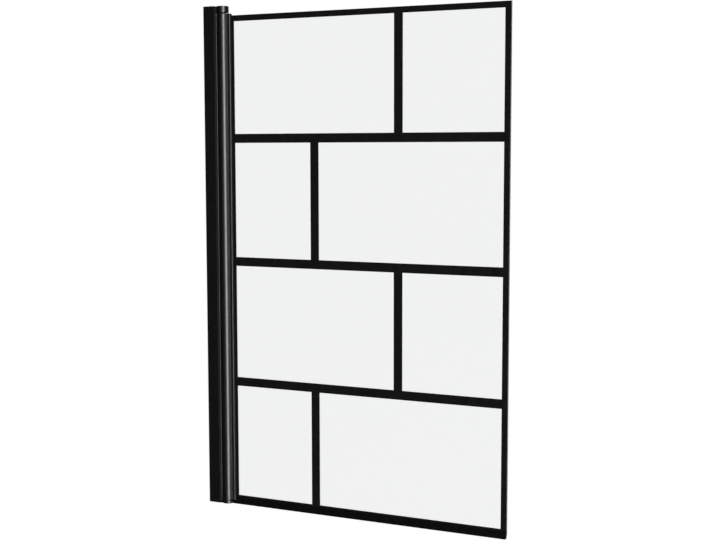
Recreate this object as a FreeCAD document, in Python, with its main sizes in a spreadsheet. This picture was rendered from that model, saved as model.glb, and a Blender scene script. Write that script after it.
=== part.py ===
import FreeCAD, Part
import math
import os
import re

import Sketcher

# Pivoting bath screen. X runs out from the wall along the glass, -Y faces the viewer, Z is up.
# The origin lies on the wall, level with the bath rim, in the middle plane of the glass.
# All sizes are in millimetres.
SIZES = {
    # Whole screen
    "overall_height": 1400,
    "screen_reach": 886.5,
    "fit_gap": 0.15,
    "slide_gap": 0.3,
    # Wall profile and its end cap
    "wall_reach": 34,
    "wall_depth": 30,
    "wall_skin": 1.6,
    "wall_tip_round": 0.15,
    "wall_hole_radius": 2.75,
    "wall_hole_inset": 80,
    "wall_hole_count": 4,
    "wall_screw_head_room": 3.4,
    "end_plate": 0.8,
    "end_plug_depth": 8,
    "end_plug_length": 2.6,
    # Width adjustment, towards and away from the wall
    "travel_in": 1.5,
    "travel_out": 15.5,
    # Hinge profile, which telescopes in the wall profile
    "hinge_skin": 1.6,
    "axis_reach": 53,
    "cup_gap": 0.6,
    "cup_wall": 4.0,
    "shoulder_start": 1.5,
    "shoulder_drop": 1.0,
    "lip_round": 0.4,
    "hollow_neck": 9.6,
    "hollow_taper": 2.0,
    "port_reach": 26,
    "port_spread": 6.5,
    "port_radius": 1.75,
    "port_wall": 1.6,
    "wiper_half": 1.6,
    "wiper_groove": 1.8,
    # Hinge caps, pins and bushes
    "drum_height": 16.7,
    "drum_crown": 0.8,
    "neck_reach": 43,
    "foot_height": 9,
    "drum_bevel": 0.7,
    "tongue_depth": 10,
    "swing_gap": 2.4,
    "pin_radius": 3,
    "pin_gap": 0.05,
    "pin_tip": 0.5,
    "top_pin_bore": 12,
    "bottom_pin_bore": 6,
    "pin_engagement": 20,
    "bush_length": 26,
    "bush_flange": 1.5,
    "collar_radius": 7.5,
    "washer_thick": 0.5,
    "washer_radius": 9,
    # Swing profile: hinge tube and glass clamp
    "tube_radius": 17,
    "tube_skin": 1.8,
    "flank_half": 9.3,
    "channel_web": 2.0,
    "channel_reach": 10,
    "jaw_skin": 1.4,
    "clamp_plate": 0.8,
    "bead_reach": 24,
    "bead_offset": 1.2,
    "bead_radius": 2.4,
    # Glass, print, gaskets and packers
    "glass_thick": 5,
    "glass_rise": 10,
    "glass_drop": 4.6,
    "glass_arris": 0.4,
    "print_thick": 0.15,
    "print_inset": 0.5,
    "print_border": 16.5,
    "print_bar": 25,
    "pane_start": 90.4,
    "brick_pitch": 245.3,
    "low_bar_rise": 344.5,
    "middle_bar_rise": 684.5,
    "high_bar_rise": 1026.9,
    "gasket_thick": 1.5,
    "gasket_depth": 14,
    "gasket_lip": 1.6,
    "gasket_lip_height": 1.5,
    "packer_thick": 1.2,
    "packer_length": 60,
    "packer_inset": 90,
    "packer_count": 3,
    # Bottom seal
    "seal_rest": 0.3,
    "seal_skin": 1.1,
    "seal_grip": 11,
    "seal_base": 1.2,
    "seal_splay": 1.4,
    "seal_fin": 0.9,
    "seal_end_inset": 2,
    # Locking screws with washers and snap-on caps
    "lock_reach": 13,
    "lock_inset": 150,
    "lock_count": 3,
    "lock_shank": 1.95,
    "lock_length": 9.5,
    "lock_head_radius": 3.7,
    "lock_head_height": 2,
    "lock_washer_radius": 5,
    "lock_washer_thick": 1.0,
    "lock_cap_skin": 0.7,
    "lock_cap_bevel": 1.4,
    # Hinge cap screws
    "cap_screw_shank": 1.65,
    "cap_screw_length": 16,
    "cap_screw_head_radius": 3.3,
    "cap_screw_head_height": 2.3,
    "cap_screw_web": 5,
}

# Places worked out from the sizes
WALL_HALF = "wall_depth / 2"
CHANNEL_HALF = "(wall_depth / 2 - wall_skin)"
WALL_TOP = "(overall_height - end_plate)"
NECK_TOP = f"({WALL_TOP} - slide_gap)"
DRUM_TOP = f"({NECK_TOP} + drum_crown)"
DRUM_BASE = f"({NECK_TOP} - drum_height)"
TAIL_START = "(wall_skin + wall_screw_head_room + travel_in)"
TAIL_HALF = f"({CHANNEL_HALF} - slide_gap)"
SHOULDER_START = "(wall_reach + shoulder_start)"
LIP_HALF = f"({TAIL_HALF} - shoulder_drop)"
CUP_RADIUS = "(tube_radius + cup_gap)"
LIP_REACH = f"(axis_reach - sqrt({CUP_RADIUS}^2 - {LIP_HALF}^2))"
NECK_RUN = f"((neck_reach - {SHOULDER_START}) / ({LIP_REACH} - {SHOULDER_START}))"
NECK_HALF = f"({TAIL_HALF} - shoulder_drop * {NECK_RUN})"
HOLLOW_START = f"({TAIL_START} + hinge_skin)"
HOLLOW_HALF = f"({TAIL_HALF} - hinge_skin)"
PORT_BOSS = "(port_radius + port_wall)"
WIPER_FLOOR = f"(axis_reach - {CUP_RADIUS} - wiper_groove)"
FLANGE_BASE = "(foot_height + washer_thick)"
TUBE_BASE = f"({FLANGE_BASE} + bush_flange)"
FLANGE_TOP = f"({DRUM_BASE} - swing_gap)"
TUBE_TOP = f"({FLANGE_TOP} - bush_flange)"
CHANNEL_FLOOR = "(axis_reach + channel_reach)"
HOLLOW_FLAT = f"({CHANNEL_FLOOR} - channel_web)"
BORE_RADIUS = "(tube_radius - tube_skin)"
JAW_INNER = "(glass_thick / 2 + gasket_thick)"
JAW_OUTER = f"({JAW_INNER} + jaw_skin)"
BEAD_X = "(axis_reach + bead_reach)"
BEAD_Y = f"({JAW_OUTER} - bead_offset)"
BEAD_ROOT = f"({BEAD_X} - sqrt(bead_radius^2 - bead_offset^2))"
BEAD_TIP = f"({BEAD_X} + sqrt(bead_radius^2 - ({BEAD_Y} - {JAW_INNER})^2))"
JAW_END = f"({BEAD_X} + bead_radius)"
FLANK_RUN = "sqrt(tube_radius^2 - flank_half^2)"
FLANK_START = f"(axis_reach + {FLANK_RUN})"
FLANK_END = f"({FLANK_START} + (flank_half - {JAW_OUTER}) * flank_half / {FLANK_RUN})"
GLASS_HALF = "glass_thick / 2"
GLASS_START = f"({CHANNEL_FLOOR} + packer_thick)"
GLASS_TOP = f"({TUBE_TOP} - glass_drop)"
LOCK_SEAT = "(wall_depth / 2 + fit_gap + lock_washer_thick)"

# Two screws hold each hinge cap
SCREW_PAIR = "2"

# Rises of the printed bars above the lower edge of the glass
BAR_RISES = ("low_bar_rise", "middle_bar_rise", "high_bar_rise")

doc = FreeCAD.newDocument("bath_screen")
sheet = doc.addObject("Spreadsheet::Sheet", "Sizes")
for row, (size_name, size_value) in enumerate(SIZES.items(), start=1):
    sheet.set(f"A{row}", size_name)
    sheet.set(f"B{row}", str(size_value))
    sheet.setAlias(f"B{row}", size_name)
doc.recompute()

pieces = []


def formula(text):
    """Write the sheet's name before each size in an expression."""
    return re.sub(r"[a-z_]+", lambda word: f"Sizes.{word[0]}" if word[0] in SIZES else word[0], text)


def number(text):
    """Give the value of an expression of sizes."""
    return float(sheet.evalExpression(formula(text)))


def bind(feature, **settings):
    """Bind properties of a feature to expressions of sizes."""
    for name, text in settings.items():
        feature.setExpression(name, formula(text))


def new_body(label):
    """Start a piece, which may hold several equal solids."""
    body = doc.addObject("PartDesign::Body", label)
    body.Label = label
    body.AllowCompound = True
    pieces.append(body)
    return body


def origin_feature(body, role):
    """Find an origin plane or axis of a piece."""
    return next(item for item in body.Origin.OriginFeatures if item.Role == role)


def new_sketch(body, name, plane="XY_Plane", along="0", across="0"):
    """Attach a sketch to an origin plane, moved along the plane's normal and across it."""
    sketch = body.newObject("Sketcher::SketchObject", name)
    sketch.AttachmentSupport = [(origin_feature(body, plane), "")]
    sketch.MapMode = "FlatFace"
    sketch.setExpression("AttachmentOffset.Base.z", formula(along))
    sketch.setExpression("AttachmentOffset.Base.x", formula(across))
    return sketch


def fix(sketch, kind, target, text):
    """Add a constraint whose value is an expression of sizes."""
    index = sketch.addConstraint(Sketcher.Constraint(kind, *target, number(text)))
    sketch.setExpression(f"Constraints[{index}]", formula(text))


def loop(sketch, corners):
    """Draw a closed outline through corners given as expressions.

    A corner is (x, y) where a line leaves it, or (x, y, arc) where an arc does.
    An arc is (centre x, centre y, turn), and its turn is 1 to the left and -1 to the right.
    """
    points = [FreeCAD.Vector(number(corner[0]), number(corner[1]), 0) for corner in corners]
    ends = []
    for index, corner in enumerate(corners):
        start, stop = points[index], points[(index + 1) % len(points)]
        if len(corner) == 2:
            edge = sketch.addGeometry(Part.LineSegment(start, stop), False)
            ends.append((edge, 1, 2))
            continue
        centre_x, centre_y, turn = corner[2]
        centre = FreeCAD.Vector(number(centre_x), number(centre_y), 0)
        first, last = (start, stop) if turn > 0 else (stop, start)
        angles = [math.atan2(point.y - centre.y, point.x - centre.x) for point in (first, last)]
        ring = Part.Circle(centre, FreeCAD.Vector(0, 0, 1), start.distanceToPoint(centre))
        edge = sketch.addGeometry(Part.ArcOfCircle(ring, *angles), False)
        ends.append((edge, 1, 2) if turn > 0 else (edge, 2, 1))
    for index, (edge, first, last) in enumerate(ends):
        following, start, _ = ends[(index + 1) % len(ends)]
        sketch.addConstraint(Sketcher.Constraint("Coincident", edge, last, following, start))
    for corner, (edge, first, last) in zip(corners, ends):
        fix(sketch, "DistanceX", (-1, 1, edge, first), corner[0])
        fix(sketch, "DistanceY", (-1, 1, edge, first), corner[1])
        if len(corner) == 3:
            fix(sketch, "DistanceX", (-1, 1, edge, 3), corner[2][0])


def rectangle(sketch, left, right, low, high):
    """Draw a rectangle between expressions for its four sides."""
    loop(sketch, [(left, low), (right, low), (right, high), (left, high)])


def circle(sketch, x, y, radius):
    """Draw a circle from expressions for its centre and radius."""
    centre = FreeCAD.Vector(number(x), number(y), 0)
    edge = sketch.addGeometry(Part.Circle(centre, FreeCAD.Vector(0, 0, 1), number(radius)), False)
    fix(sketch, "DistanceX", (-1, 1, edge, 3), x)
    fix(sketch, "DistanceY", (-1, 1, edge, 3), y)
    fix(sketch, "Radius", (edge,), radius)


def raised(kind, sketch, length, backwards):
    """Pad or pocket a sketch by an expression."""
    body = sketch.getParentGeoFeatureGroup()
    feature = body.newObject(f"PartDesign::{kind}", f"{sketch.Name}_{kind.lower()}")
    feature.Profile = sketch
    feature.Reversed = backwards
    bind(feature, Length=length)
    doc.recompute()
    return feature


def pad(sketch, length, backwards=False):
    """Add a sketch's outline along its plane's normal, or backwards."""
    return raised("Pad", sketch, length, backwards)


def pocket(sketch, length, backwards=False):
    """Cut a sketch's outline against its plane's normal, or backwards along it, and see that it cuts."""
    body = sketch.getParentGeoFeatureGroup()
    before = body.Tip.Shape.Volume
    feature = raised("Pocket", sketch, length, backwards)
    if feature.Shape.Volume > before - 1e-6:
        raise RuntimeError(f"{sketch.Name} cuts nothing")
    return feature


def turned(sketch):
    """Turn a sketch about its own upright axis."""
    body = sketch.getParentGeoFeatureGroup()
    feature = body.newObject("PartDesign::Revolution", f"{sketch.Name}_turned")
    feature.Profile = sketch
    feature.ReferenceAxis = (sketch, ["V_Axis"])
    feature.Angle = 360
    doc.recompute()
    return feature


def repeat(feature, axis, span, count):
    """Repeat a feature along an origin axis, evenly over a span."""
    body = feature.getParentGeoFeatureGroup()
    pattern = body.newObject("PartDesign::LinearPattern", f"{feature.Name}_row")
    pattern.Originals = [feature]
    pattern.Direction = (origin_feature(body, axis), [""])
    bind(pattern, Length=span, Occurrences=count)
    body.Tip = pattern
    doc.recompute()
    return pattern


def edges_where(shape, test):
    """Name the edges of a shape whose middle point and direction pass a test."""
    names = []
    for index, edge in enumerate(shape.Edges, start=1):
        middle = edge.valueAt((edge.FirstParameter + edge.LastParameter) / 2)
        if test(middle, edge):
            names.append(f"Edge{index}")
    return names


def dress(kind, feature, names, size_property, text):
    """Fillet or chamfer named edges or faces of a feature."""
    body = feature.getParentGeoFeatureGroup()
    dressed = body.newObject(f"PartDesign::{kind}", f"{feature.Name}_{kind.lower()}")
    dressed.Base = (feature, names)
    bind(dressed, **{size_property: text})
    doc.recompute()
    return dressed


def near(value, text):
    """Tell whether a coordinate lies at an expression's value."""
    return abs(value - number(text)) < 1e-3


def upright(edge):
    """Tell whether an edge is a straight upright line."""
    return isinstance(edge.Curve, Part.Line) and abs(edge.tangentAt(edge.FirstParameter).z) > 0.999


def wall_profile():
    """Channel screwed to the wall, with locking slots in the flange away from the viewer."""
    body = new_body("wall_profile")
    section = new_sketch(body, "channel_section")
    loop(section, [
        ("0", f"-{WALL_HALF}"),
        ("wall_reach", f"-{WALL_HALF}"),
        ("wall_reach", f"-{CHANNEL_HALF}"),
        ("wall_skin", f"-{CHANNEL_HALF}"),
        ("wall_skin", CHANNEL_HALF),
        ("wall_reach", CHANNEL_HALF),
        ("wall_reach", WALL_HALF),
        ("0", WALL_HALF),
    ])
    channel = pad(section, WALL_TOP)
    tips = edges_where(channel.Shape, lambda at, edge: upright(edge) and near(at.x, "wall_reach"))
    dress("Fillet", channel, tips, "Radius", "wall_tip_round")
    holes = new_sketch(body, "wall_hole", "YZ_Plane")
    circle(holes, "0", "wall_hole_inset", "wall_hole_radius")
    hole = pocket(holes, "wall_skin", backwards=True)
    repeat(hole, "Z_Axis", f"{WALL_TOP} - 2 * wall_hole_inset", "wall_hole_count")
    slots = new_sketch(body, "locking_slot", "XZ_Plane", along=f"-{WALL_HALF}")
    half = "(lock_shank + slide_gap)"
    inner = "(lock_reach - travel_in)"
    outer = "(lock_reach + travel_out)"
    loop(slots, [
        (inner, f"lock_inset - {half}"),
        (outer, f"lock_inset - {half}", (outer, "lock_inset", 1)),
        (outer, f"lock_inset + {half}"),
        (inner, f"lock_inset + {half}", (inner, "lock_inset", 1)),
    ])
    slot = pocket(slots, "wall_skin", backwards=True)
    repeat(slot, "Z_Axis", f"{WALL_TOP} - 2 * lock_inset", "lock_count")


def wall_end_cap():
    """Moulded cap on the wall profile, with a plug behind the hinge profile's travel."""
    body = new_body("wall_end_cap")
    plate_sketch = new_sketch(body, "end_plate_outline", along=WALL_TOP)
    rectangle(plate_sketch, "0", "wall_reach", f"-{WALL_HALF}", WALL_HALF)
    plate = pad(plate_sketch, "end_plate")
    corners = edges_where(plate.Shape, lambda at, edge: upright(edge) and near(at.x, "wall_reach"))
    dress("Fillet", plate, corners, "Radius", "wall_tip_round")
    plug_sketch = new_sketch(body, "end_plug", along=WALL_TOP)
    plug_half = f"({CHANNEL_HALF} - fit_gap)"
    plug_start = "wall_skin + fit_gap"
    rectangle(plug_sketch, plug_start, f"{plug_start} + end_plug_length", f"-{plug_half}", plug_half)
    pad(plug_sketch, "end_plug_depth", backwards=True)


def hinge_outline(sketch, far_end):
    """Draw the hinge profile's outside, closed at its far end by the given corners."""
    loop(sketch, [
        (TAIL_START, f"-{TAIL_HALF}"),
        (SHOULDER_START, f"-{TAIL_HALF}"),
        *far_end,
        (SHOULDER_START, TAIL_HALF),
        (TAIL_START, TAIL_HALF),
    ])


def hinge_profile():
    """Extrusion that slides in the channel and cups the hinge tube, with two screw ports inside."""
    body = new_body("hinge_profile")
    height = f"{DRUM_BASE} - foot_height"
    section = new_sketch(body, "hinge_section", along="foot_height")
    cup = ("axis_reach", "0", -1)
    hinge_outline(section, [(LIP_REACH, f"-{LIP_HALF}", cup), (LIP_REACH, LIP_HALF)])
    back_radius = f"({CUP_RADIUS} + cup_wall)"
    neck_end = f"(axis_reach - sqrt({back_radius}^2 - hollow_neck^2))"
    taper_start = f"({neck_end} - hollow_taper)"
    loop(section, [
        (HOLLOW_START, f"-{HOLLOW_HALF}"),
        (taper_start, f"-{HOLLOW_HALF}"),
        (neck_end, "-hollow_neck", cup),
        (neck_end, "hollow_neck"),
        (taper_start, HOLLOW_HALF),
        (HOLLOW_START, HOLLOW_HALF),
    ])
    extrusion = pad(section, height)
    lips = edges_where(extrusion.Shape, lambda at, edge: upright(edge) and near(at.x, LIP_REACH))
    dress("Fillet", extrusion, lips, "Radius", "lip_round")
    web_sketch = new_sketch(body, "port_web", along="foot_height")
    web_near, web_far = "port_reach - hinge_skin / 2", "port_reach + hinge_skin / 2"
    rectangle(web_sketch, web_near, web_far, f"-{HOLLOW_HALF}", HOLLOW_HALF)
    pad(web_sketch, height)
    for side, sign in (("front", "-"), ("rear", "")):
        boss_sketch = new_sketch(body, f"{side}_port_boss", along="foot_height")
        circle(boss_sketch, "port_reach", f"{sign}port_spread", PORT_BOSS)
        pad(boss_sketch, height)
        port_sketch = new_sketch(body, f"{side}_port", along="foot_height")
        circle(port_sketch, "port_reach", f"{sign}port_spread", "port_radius")
        pocket(port_sketch, height, backwards=True)
    groove_sketch = new_sketch(body, "wiper_groove_section", along="foot_height")
    rectangle(groove_sketch, WIPER_FLOOR, "axis_reach - tube_radius", "-wiper_half", "wiper_half")
    pocket(groove_sketch, height, backwards=True)
    holes = new_sketch(body, "locking_hole", "XZ_Plane", along=f"-{TAIL_HALF}")
    circle(holes, "lock_reach", "lock_inset", "lock_shank + pin_gap")
    hole = pocket(holes, "hinge_skin", backwards=True)
    repeat(hole, "Z_Axis", f"{WALL_TOP} - 2 * lock_inset", "lock_count")


def wiper_seal():
    """Strip in the cup's groove, with a rounded lip that almost touches the tube."""
    body = new_body("wiper_seal")
    section = new_sketch(body, "wiper_section", along="foot_height")
    half = "(wiper_half - fit_gap)"
    foot_end = f"(axis_reach - {CUP_RADIUS})"
    crown = "(cup_gap - slide_gap)"
    bulge = f"(({half}^2 + {crown}^2) / (2 * {crown}))"
    lip = (f"{foot_end} + {crown} - {bulge}", "0", 1)
    loop(section, [
        (WIPER_FLOOR, f"-{half}"),
        (foot_end, f"-{half}", lip),
        (foot_end, half),
        (WIPER_FLOOR, half),
    ])
    pad(section, f"{DRUM_BASE} - foot_height")


def hinge_cap(label, base, height, seat, bore_depth, upper):
    """Cast cap: a drum over the pivot, a neck on the hinge profile's end and a tongue inside it.

    The seat is the face that meets the hinge profile, at the cap's lower end if it is the upper cap,
    whose drum rises above its neck by a low crown.
    """
    body = new_body(label)
    neck_sketch = new_sketch(body, f"{label}_neck", along=base)
    hinge_outline(neck_sketch, [("neck_reach", f"-{NECK_HALF}"), ("neck_reach", NECK_HALF)])
    pad(neck_sketch, height)
    drum_sketch = new_sketch(body, f"{label}_drum", along=base)
    circle(drum_sketch, "axis_reach", "0", "tube_radius")
    pad(drum_sketch, f"{height} + drum_crown" if upper else height)
    tongue_sketch = new_sketch(body, f"{label}_tongue", along=seat)
    tongue_half = f"({HOLLOW_HALF} - fit_gap)"
    tongue_end = f"port_reach - {PORT_BOSS} - fit_gap"
    rectangle(tongue_sketch, f"{HOLLOW_START} + fit_gap", tongue_end, f"-{tongue_half}", tongue_half)
    pad(tongue_sketch, "tongue_depth", backwards=upper)
    bore_sketch = new_sketch(body, f"{label}_pin_bore", along=seat)
    circle(bore_sketch, "axis_reach", "0", "pin_radius + pin_gap / 2")
    pocket(bore_sketch, bore_depth, backwards=upper)
    through_sketch = new_sketch(body, f"{label}_screw_hole", along=seat)
    circle(through_sketch, "port_reach", "-port_spread", "cap_screw_shank + slide_gap")
    through = pocket(through_sketch, height, backwards=upper)
    repeat(through, "Y_Axis", "2 * port_spread", SCREW_PAIR)
    head_seat = f"{seat} + cap_screw_web" if upper else f"{seat} - cap_screw_web"
    recess_sketch = new_sketch(body, f"{label}_screw_recess", along=head_seat)
    circle(recess_sketch, "port_reach", "-port_spread", "cap_screw_head_radius + slide_gap")
    recess = pocket(recess_sketch, height, backwards=upper)
    return repeat(recess, "Y_Axis", "2 * port_spread", SCREW_PAIR)


def top_hinge_cap():
    """Cap that holds the upper pin, its drum bevelled along the upper edge."""
    whole = hinge_cap("top_hinge_cap", DRUM_BASE, "drum_height", DRUM_BASE, "top_pin_bore", True)
    bevel_rim(whole, DRUM_TOP)


def bottom_hinge_cap():
    """Cap that holds the lower pin and stands on the bath rim."""
    whole = hinge_cap("bottom_hinge_cap", "0", "foot_height", "foot_height", "bottom_pin_bore", False)
    bevel_rim(whole, "0")


def bevel_rim(feature, height):
    """Bevel the drum's outer edge at a height."""

    def on_rim(at, edge):
        at_height = near(at.z, height)
        return at_height and isinstance(edge.Curve, Part.Circle) and near(edge.Curve.Radius, "tube_radius")

    dress("Chamfer", feature, edges_where(feature.Shape, on_rim), "Size", "drum_bevel")


def pivot_pin(label, low, high):
    """Steel pin on the hinge axis with chamfered ends."""
    body = new_body(label)
    section = new_sketch(body, f"{label}_section", along=low)
    circle(section, "axis_reach", "0", "pin_radius")
    rod = pad(section, f"({high}) - ({low})")
    rims = edges_where(rod.Shape, lambda at, edge: isinstance(edge.Curve, Part.Circle))
    dress("Chamfer", rod, rims, "Size", "pin_tip")


def pivot_pins():
    """Upper and lower pins, held in the caps and turning in the bushes."""
    pivot_pin("top_pivot_pin", f"{FLANGE_TOP} - pin_engagement", f"{DRUM_BASE} + top_pin_bore")
    pivot_pin("bottom_pivot_pin", "foot_height - bottom_pin_bore", f"{FLANGE_BASE} + pin_engagement")


def flat_round(sketch, radius, flat):
    """Draw a circle about the hinge axis with a flat on the glass side."""
    half = f"sqrt(({radius})^2 - ({flat} - axis_reach)^2)"
    loop(sketch, [
        (flat, f"-{half}"),
        (flat, half, ("axis_reach", "0", 1)),
    ])


def pivot_bush(label, seat, upper):
    """Moulded bush: a plug in the tube's hollow and a flange over the tube's end, bored for the pin.

    The upper bush has a collar round the pin, which fills the gap under the drum.
    """
    body = new_body(label)
    flange_sketch = new_sketch(body, f"{label}_flange", along=seat)
    flat_round(flange_sketch, "tube_radius", HOLLOW_FLAT)
    pad(flange_sketch, "bush_flange", backwards=not upper)
    plug_sketch = new_sketch(body, f"{label}_plug", along=seat)
    flat_round(plug_sketch, f"({BORE_RADIUS} - fit_gap)", f"({HOLLOW_FLAT} - fit_gap)")
    pad(plug_sketch, "bush_length", backwards=upper)
    far_face = f"{seat} - bush_flange"
    if upper:
        collar_sketch = new_sketch(body, f"{label}_collar", along=f"{seat} + bush_flange")
        circle(collar_sketch, "axis_reach", "0", "collar_radius")
        pad(collar_sketch, "swing_gap - slide_gap")
        far_face = f"{seat} + bush_flange + swing_gap - slide_gap"
    bore_sketch = new_sketch(body, f"{label}_bore", along=far_face)
    circle(bore_sketch, "axis_reach", "0", "pin_radius + pin_gap")
    pocket(bore_sketch, "bush_flange + bush_length + swing_gap", backwards=not upper)


def pivot_bushes():
    """Bushes at the two ends of the hinge tube."""
    pivot_bush("top_bush", TUBE_TOP, True)
    pivot_bush("bottom_bush", TUBE_BASE, False)


def thrust_washer():
    """Washer that carries the screen's weight on the bottom cap."""
    body = new_body("thrust_washer")
    section = new_sketch(body, "washer_section", along="foot_height")
    circle(section, "axis_reach", "0", "washer_radius")
    circle(section, "axis_reach", "0", "pin_radius + fit_gap")
    pad(section, "washer_thick")


def swing_profile():
    """Extrusion with the hinge tube, its flat flanks, the glass channel and beaded clamp jaws."""
    body = new_body("swing_profile")
    section = new_sketch(body, "swing_section", along=TUBE_BASE)
    front_bead = (BEAD_X, f"-{BEAD_Y}", 1)
    rear_bead = (BEAD_X, BEAD_Y, 1)
    loop(section, [
        (FLANK_END, f"-{JAW_OUTER}"),
        (BEAD_ROOT, f"-{JAW_OUTER}", front_bead),
        (BEAD_TIP, f"-{JAW_INNER}"),
        (CHANNEL_FLOOR, f"-{JAW_INNER}"),
        (CHANNEL_FLOOR, JAW_INNER),
        (BEAD_TIP, JAW_INNER, rear_bead),
        (BEAD_ROOT, JAW_OUTER),
        (FLANK_END, JAW_OUTER),
        (FLANK_START, "flank_half", ("axis_reach", "0", 1)),
        (FLANK_START, "-flank_half"),
    ])
    flat_round(section, BORE_RADIUS, HOLLOW_FLAT)
    pad(section, f"{TUBE_TOP} - {TUBE_BASE}")


def clamp_end_cap():
    """Moulded cap on the clamp's upper end, with a plug above the glass."""
    body = new_body("clamp_end_cap")
    plate_sketch = new_sketch(body, "clamp_plate", along=TUBE_TOP)
    rectangle(plate_sketch, f"{HOLLOW_FLAT} + fit_gap", BEAD_X, f"-{JAW_OUTER}", JAW_OUTER)
    pad(plate_sketch, "clamp_plate")
    plug_sketch = new_sketch(body, "clamp_plug", along=TUBE_TOP)
    plug_half = f"({JAW_INNER} - fit_gap)"
    rectangle(plug_sketch, f"{CHANNEL_FLOOR} + fit_gap", BEAD_X, f"-{plug_half}", plug_half)
    pad(plug_sketch, "glass_drop - fit_gap", backwards=True)


def glass_panel():
    """Toughened pane with ground edges."""
    body = new_body("glass_panel")
    outline = new_sketch(body, "glass_outline", "XZ_Plane", along=GLASS_HALF)
    rectangle(outline, GLASS_START, "screen_reach", "glass_rise", GLASS_TOP)
    slab = pad(outline, "glass_thick", backwards=True)
    rims = edges_where(slab.Shape, lambda at, edge: near(abs(at.y), GLASS_HALF))
    dress("Chamfer", slab, rims, "Size", "glass_arris")


def printed_grid():
    """Enamel print on the viewer's side: a border and staggered bars."""
    body = new_body("printed_grid")
    outline = new_sketch(body, "print_outline", "XZ_Plane", along=GLASS_HALF)
    left, right = f"{GLASS_START} + print_inset", "screen_reach - print_inset"
    low, high = "glass_rise + print_inset", f"{GLASS_TOP} - print_inset"
    rectangle(outline, left, right, low, high)
    pane_end = "screen_reach - print_border"
    half = "print_bar / 2"
    bars = [f"glass_rise + {rise}" for rise in BAR_RISES]
    floors = ["glass_rise + print_border"] + [f"{bar} + {half}" for bar in bars]
    ceilings = [f"{bar} - {half}" for bar in bars] + [f"{GLASS_TOP} - print_border"]
    for row_index, (floor, ceiling) in enumerate(zip(floors, ceilings)):
        joint = f"pane_start + {1 + row_index % 2} * brick_pitch"
        rectangle(outline, "pane_start", f"{joint} - {half}", floor, ceiling)
        rectangle(outline, f"{joint} + {half}", pane_end, floor, ceiling)
    pad(outline, "print_thick")


def glazing_gasket(label, sign, face):
    """Rubber wedge between a clamp jaw and the glass, with a lip over the jaw's end."""
    body = new_body(label)
    section = new_sketch(body, f"{label}_section", along=TUBE_BASE)
    lip_start = f"{JAW_END} + fit_gap"
    lip_half = f"({JAW_INNER} + gasket_lip_height)"
    corners = [
        (f"{JAW_END} - gasket_depth", f"{sign}{JAW_INNER}"),
        (lip_start, f"{sign}{JAW_INNER}"),
        (lip_start, f"{sign}{lip_half}"),
        (f"{lip_start} + gasket_lip / 2", f"{sign}{lip_half}"),
        (f"{lip_start} + gasket_lip", f"{sign}{face}"),
        (f"{JAW_END} - gasket_depth", f"{sign}{face}"),
    ]
    loop(section, corners if sign == "" else corners[::-1])
    pad(section, f"{GLASS_TOP} - {TUBE_BASE}")


def glazing_gaskets():
    """Gaskets on the printed side and the plain side of the glass."""
    glazing_gasket("front_gasket", "-", f"({GLASS_HALF} + print_thick)")
    glazing_gasket("rear_gasket", "", f"({GLASS_HALF})")


def glass_packers():
    """Blocks between the channel's floor and the edge of the glass."""
    body = new_body("glass_packers")
    section = new_sketch(body, "packer_section", along=f"{TUBE_BASE} + packer_inset")
    half = f"({GLASS_HALF} - glass_arris)"
    rectangle(section, CHANNEL_FLOOR, GLASS_START, f"-{half}", half)
    block = pad(section, "packer_length")
    repeat(block, "Z_Axis", f"{GLASS_TOP} - {TUBE_BASE} - 2 * packer_inset - packer_length", "packer_count")


def bottom_seal():
    """Clip-on strip: two arms on the glass and two splayed fins down to the bath rim."""
    body = new_body("bottom_seal")
    start = "(axis_reach + tube_radius + cup_gap)"
    section = new_sketch(body, "seal_section", "YZ_Plane", along=start)
    inner = f"({GLASS_HALF} + print_thick + fit_gap)"
    outer = f"({inner} + seal_skin)"
    base = "(glass_rise - seal_base)"
    tip = f"({outer} + seal_splay)"
    loop(section, [
        (f"-{outer}", "glass_rise + seal_grip"),
        (f"-{outer}", base),
        (f"-{tip}", "seal_rest"),
        (f"-{tip} + seal_fin", "seal_rest"),
        (f"-{outer} + 2 * seal_fin", base),
        (f"{outer} - 2 * seal_fin", base),
        (f"{tip} - seal_fin", "seal_rest"),
        (tip, "seal_rest"),
        (outer, base),
        (outer, "glass_rise + seal_grip"),
        (inner, "glass_rise + seal_grip"),
        (inner, "glass_rise"),
        (f"-{inner}", "glass_rise"),
        (f"-{inner}", "glass_rise + seal_grip"),
    ])
    pad(section, f"screen_reach - seal_end_inset - {start}")
    notch = new_sketch(body, "clamp_notch", "XZ_Plane", along=tip)
    notch_end = f"{JAW_END} + gasket_lip + 2 * fit_gap"
    rectangle(notch, f"{start} - cup_gap", notch_end, "glass_rise", "glass_rise + seal_grip + cup_gap")
    pocket(notch, f"2 * {tip}")


def locking_screws():
    """Screws that clamp the hinge profile in the wall profile."""
    body = new_body("locking_screws")
    section = new_sketch(body, "lock_screw_section", along="lock_inset", across="lock_reach")
    head_top = f"({LOCK_SEAT} + lock_head_height)"
    loop(section, [
        ("0", f"{LOCK_SEAT} - lock_length"),
        ("lock_shank", f"{LOCK_SEAT} - lock_length"),
        ("lock_shank", LOCK_SEAT),
        ("lock_head_radius", LOCK_SEAT),
        ("lock_head_radius", head_top),
        ("0", head_top),
    ])
    repeat(turned(section), "Z_Axis", f"{WALL_TOP} - 2 * lock_inset", "lock_count")


def locking_washers():
    """Cup washers under the locking screws, which hold the snap-on caps."""
    body = new_body("locking_washers")
    section = new_sketch(body, "lock_washer_section", along="lock_inset", across="lock_reach")
    inner = "lock_shank + pin_gap"
    rectangle(section, inner, "lock_washer_radius", f"{LOCK_SEAT} - lock_washer_thick", LOCK_SEAT)
    repeat(turned(section), "Z_Axis", f"{WALL_TOP} - 2 * lock_inset", "lock_count")


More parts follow.
